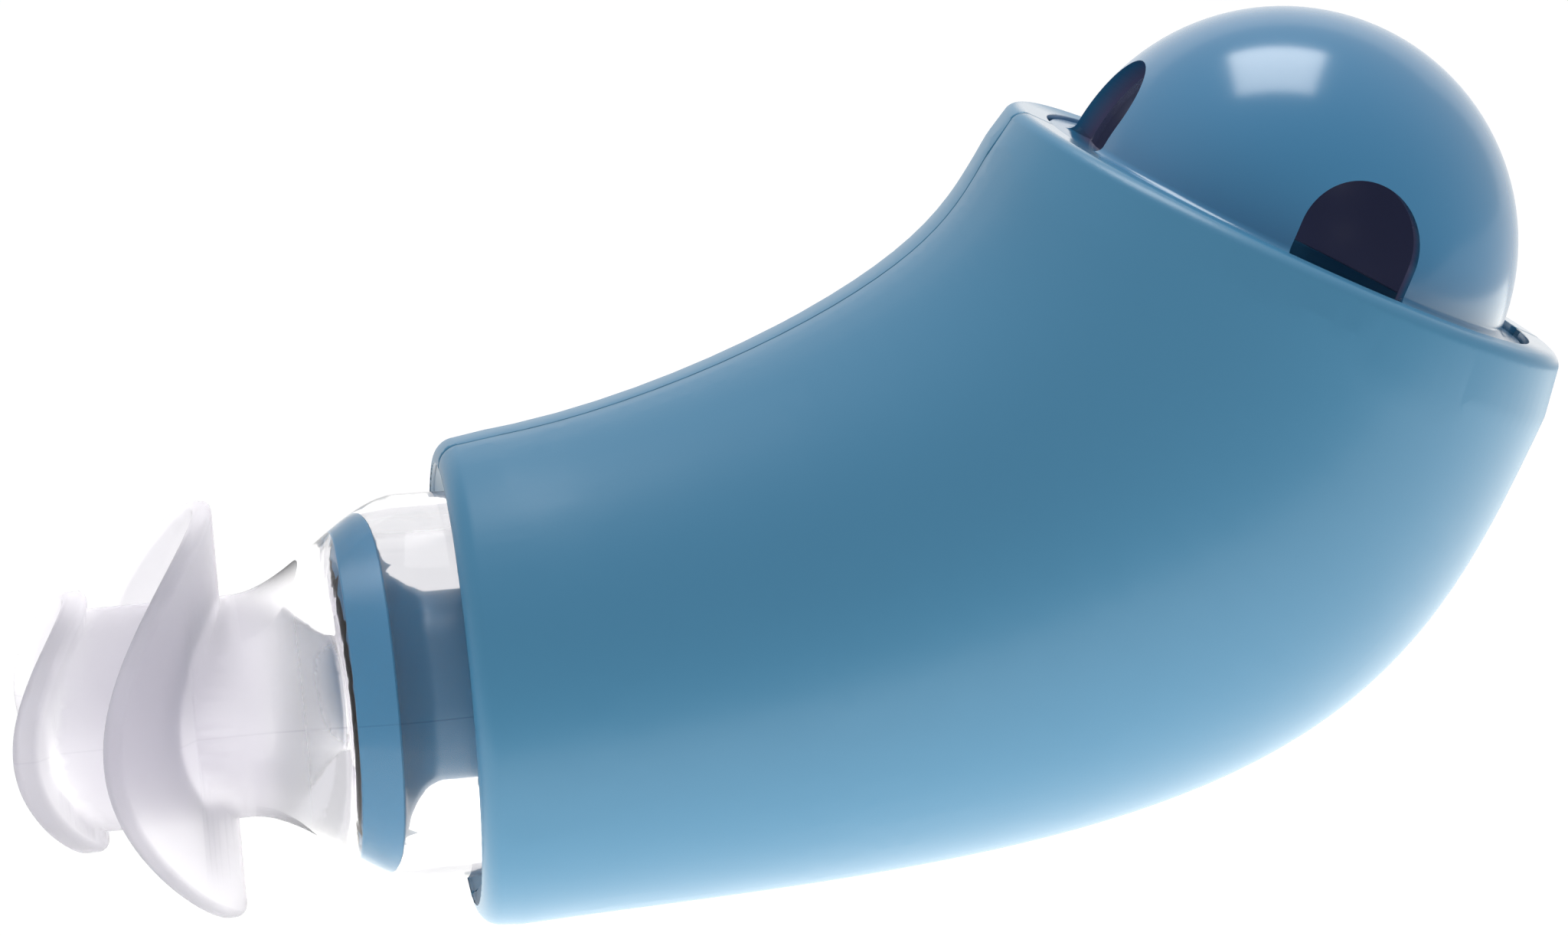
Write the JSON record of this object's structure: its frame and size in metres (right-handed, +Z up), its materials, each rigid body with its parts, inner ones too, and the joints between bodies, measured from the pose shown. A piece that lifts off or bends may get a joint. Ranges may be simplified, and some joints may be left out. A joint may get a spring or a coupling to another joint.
{
  "type": "breathing trainer",
  "caption": "Hand-held breathing trainer: a soft clear mouthpiece on a curved pipe-shaped casing, with a steel ball on a cone seat under a slotted dome cap.",
  "frame": {"origin": "centre of the mouthpiece's tip, where the lips close round it", "axes": "+X along the mouthpiece into the casing, +Z up towards the dome when the trainer is held level, +Y to the right of the user's view away from the near side"},
  "size_m": [0.1533, 0.0632, 0.0836],
  "materials": {
    "casing_blue": "satin moulded, medium blue",
    "duct_blue": "satin moulded, medium blue",
    "cone_blue": "smooth moulded, medium blue",
    "ball_steel": "polished bearing steel",
    "cap_blue": "semi-gloss moulded, medium blue",
    "clear_silicone": "clear soft moulding, slightly milky"
  },
  "bodies": {
    "casing": {"casing_near_half": "casing_blue", "casing_far_half": "casing_blue", "inner_duct": "duct_blue"},
    "cone_seat": {"cone_seat": "cone_blue"},
    "ball": {"steel_ball": "ball_steel"},
    "cap": {"dome_cap": "cap_blue"},
    "mouthpiece": {"mouthpiece": "clear_silicone"}
  },
  "joints": [
    {"name": "seat_lift", "type": "slide", "parent": "casing", "child": "cone_seat", "axis": [0.4787, 0, 0.878], "range_m": [0, 0.03]},
    {"name": "ball_lift", "type": "slide", "parent": "cone_seat", "child": "ball", "axis": [0.4787, 0, 0.878], "range_m": [0, 0.0215]},
    {"name": "cap_lift", "type": "slide", "parent": "cone_seat", "child": "cap", "axis": [0.4787, 0, 0.878], "range_m": [0, 0.03]},
    {"name": "mouthpiece_pull", "type": "slide", "parent": "casing", "child": "mouthpiece", "axis": [-1, 0, 0], "range_m": [0, 0.03]}
  ]
}
